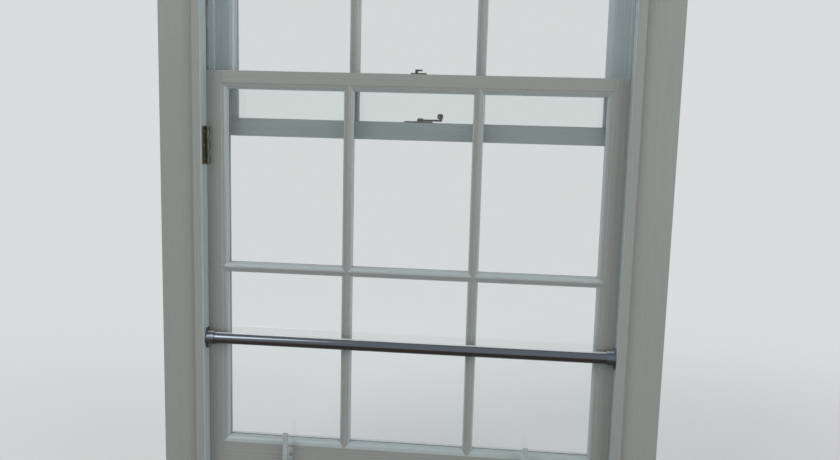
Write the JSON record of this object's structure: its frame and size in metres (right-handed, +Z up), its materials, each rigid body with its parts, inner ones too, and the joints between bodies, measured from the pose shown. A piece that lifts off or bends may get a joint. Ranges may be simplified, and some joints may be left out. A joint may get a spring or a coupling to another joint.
{
  "type": "sash window",
  "caption": "Painted timber box sash window: vertically sliding sashes with glazing bars, hung on cords, pulleys and weights in their frame, with a safety bar and a fastener.",
  "frame": {"origin": "centre of the sill's flat underside across the window, in the plane of the inside linings' room faces", "axes": "+X to the right seen from the room, +Y out of doors, +Z up"},
  "size_m": [1.029, 0.209, 1.7438],
  "materials": {
    "white_paint": "old oil gloss paint, brush marked, on softwood",
    "bare_softwood": "sawn, unpainted",
    "window_glass": "old drawn sheet glass, faintly wavy",
    "painted_putty": "linseed putty, knifed and painted",
    "painted_iron": "painted over, worn to brown metal at the edges",
    "cast_iron": "rough sand casting",
    "pulley_brass": "dull, turned",
    "bright_tube": "polished",
    "dark_bronze": "dull, tarnished",
    "screw_steel": "dull",
    "sash_cord": "waxed cotton, greyed"
  },
  "bodies": {
    "frame": {"sill": "white_paint", "pulley_head": "white_paint", "pulley_stile_left": "white_paint", "pulley_stile_right": "white_paint", "pocket_pieces": "white_paint", "inner_lining_left": "white_paint", "inner_lining_right": "white_paint", "inner_lining_head": "white_paint", "outer_lining_left": "white_paint", "outer_lining_right": "white_paint", "outer_lining_head": "white_paint", "parting_bead_left": "white_paint", "parting_bead_right": "white_paint", "parting_bead_head": "white_paint", "staff_bead_left": "white_paint", "staff_bead_right": "white_paint", "staff_bead_head": "white_paint", "staff_bead_sill": "white_paint", "back_linings": "bare_softwood", "wagtails": "bare_softwood", "pulley_cases": "painted_iron", "frame_screws": "screw_steel", "safety_bar": "bright_tube", "bar_socket_left": "bright_tube", "bar_socket_right": "bright_tube", "hinge_leaf": "dark_bronze", "lower_cord_left": "sash_cord", "lower_cord_right": "sash_cord", "upper_cord_left": "sash_cord", "upper_cord_right": "sash_cord"},
    "lower_sash": {"lower_stile_left": "white_paint", "lower_stile_right": "white_paint", "lower_bottom_rail": "white_paint", "lower_meeting_rail": "white_paint", "lower_upright_bars": "white_paint", "lower_cross_bars": "white_paint", "lower_panes": "window_glass", "lower_putty": "painted_putty", "sash_lift_left": "painted_iron", "sash_lift_right": "painted_iron", "lower_screws": "screw_steel", "fastener_keep": "dark_bronze"},
    "upper_sash": {"upper_stile_left": "white_paint", "upper_stile_right": "white_paint", "upper_top_rail": "white_paint", "upper_meeting_rail": "white_paint", "upper_upright_bars": "white_paint", "upper_cross_bars": "white_paint", "upper_panes": "window_glass", "upper_putty": "painted_putty", "fastener_plate": "dark_bronze"},
    "fastener_arm": {"fastener_arm": "dark_bronze"},
    "lower_pulley_left": {"lower_pulley_left": "pulley_brass"},
    "lower_weight_left": {"lower_weight_left": "cast_iron"},
    "lower_pulley_right": {"lower_pulley_right": "pulley_brass"},
    "lower_weight_right": {"lower_weight_right": "cast_iron"},
    "upper_pulley_left": {"upper_pulley_left": "pulley_brass"},
    "upper_weight_left": {"upper_weight_left": "cast_iron"},
    "upper_pulley_right": {"upper_pulley_right": "pulley_brass"},
    "upper_weight_right": {"upper_weight_right": "cast_iron"}
  },
  "joints": [
    {"name": "lower_sash_slide", "type": "slide", "parent": "frame", "child": "lower_sash", "axis": [0, 0, 1], "range_m": [-0.096, 0.18], "deforming": ["lower_cord_left", "lower_cord_right"]},
    {"name": "upper_sash_slide", "type": "slide", "parent": "frame", "child": "upper_sash", "axis": [0, 0, 1], "range_m": [-0.49, 0], "deforming": ["upper_cord_left", "upper_cord_right"]},
    {"name": "fastener_turn", "type": "hinge", "parent": "upper_sash", "child": "fastener_arm", "pos_m": [0.009, 0.088, 0.92466], "axis": [0, 0, 1], "range_deg": [-90, 0]},
    {"name": "lower_weight_left_slide", "type": "slide", "parent": "frame", "child": "lower_weight_left", "axis": [0, 0, 1], "range_m": [-0.18, 0.096]},
    {"name": "lower_pulley_left_turn", "type": "hinge", "parent": "frame", "child": "lower_pulley_left", "pos_m": [-0.45375, 0.044, 1.57976], "axis": [0, 1, 0], "range_deg": [-402, 215]},
    {"name": "lower_weight_right_slide", "type": "slide", "parent": "frame", "child": "lower_weight_right", "axis": [0, 0, 1], "range_m": [-0.18, 0.096]},
    {"name": "lower_pulley_right_turn", "type": "hinge", "parent": "frame", "child": "lower_pulley_right", "pos_m": [0.45375, 0.044, 1.57976], "axis": [0, 1, 0], "range_deg": [-215, 402]},
    {"name": "upper_weight_left_slide", "type": "slide", "parent": "frame", "child": "upper_weight_left", "axis": [0, 0, 1], "range_m": [0, 0.49]},
    {"name": "upper_pulley_left_turn", "type": "hinge", "parent": "frame", "child": "upper_pulley_left", "pos_m": [-0.45375, 0.102, 1.57976], "axis": [0, 1, 0], "range_deg": [-1, 1092]},
    {"name": "upper_weight_right_slide", "type": "slide", "parent": "frame", "child": "upper_weight_right", "axis": [0, 0, 1], "range_m": [0, 0.49]},
    {"name": "upper_pulley_right_turn", "type": "hinge", "parent": "frame", "child": "upper_pulley_right", "pos_m": [0.45375, 0.102, 1.57976], "axis": [0, 1, 0], "range_deg": [-1092, 1]}
  ],
  "couplings": [
    {"joint": "lower_weight_left_slide", "follows": "lower_sash_slide", "ratio": -1},
    {"joint": "lower_pulley_left_turn", "follows": "lower_sash_slide", "rad_per_m": -38.835},
    {"joint": "lower_weight_right_slide", "follows": "lower_sash_slide", "ratio": -1},
    {"joint": "lower_pulley_right_turn", "follows": "lower_sash_slide", "rad_per_m": 38.835},
    {"joint": "upper_weight_left_slide", "follows": "upper_sash_slide", "ratio": -1},
    {"joint": "upper_pulley_left_turn", "follows": "upper_sash_slide", "rad_per_m": -38.835},
    {"joint": "upper_weight_right_slide", "follows": "upper_sash_slide", "ratio": -1},
    {"joint": "upper_pulley_right_turn", "follows": "upper_sash_slide", "rad_per_m": 38.835}
  ]
}
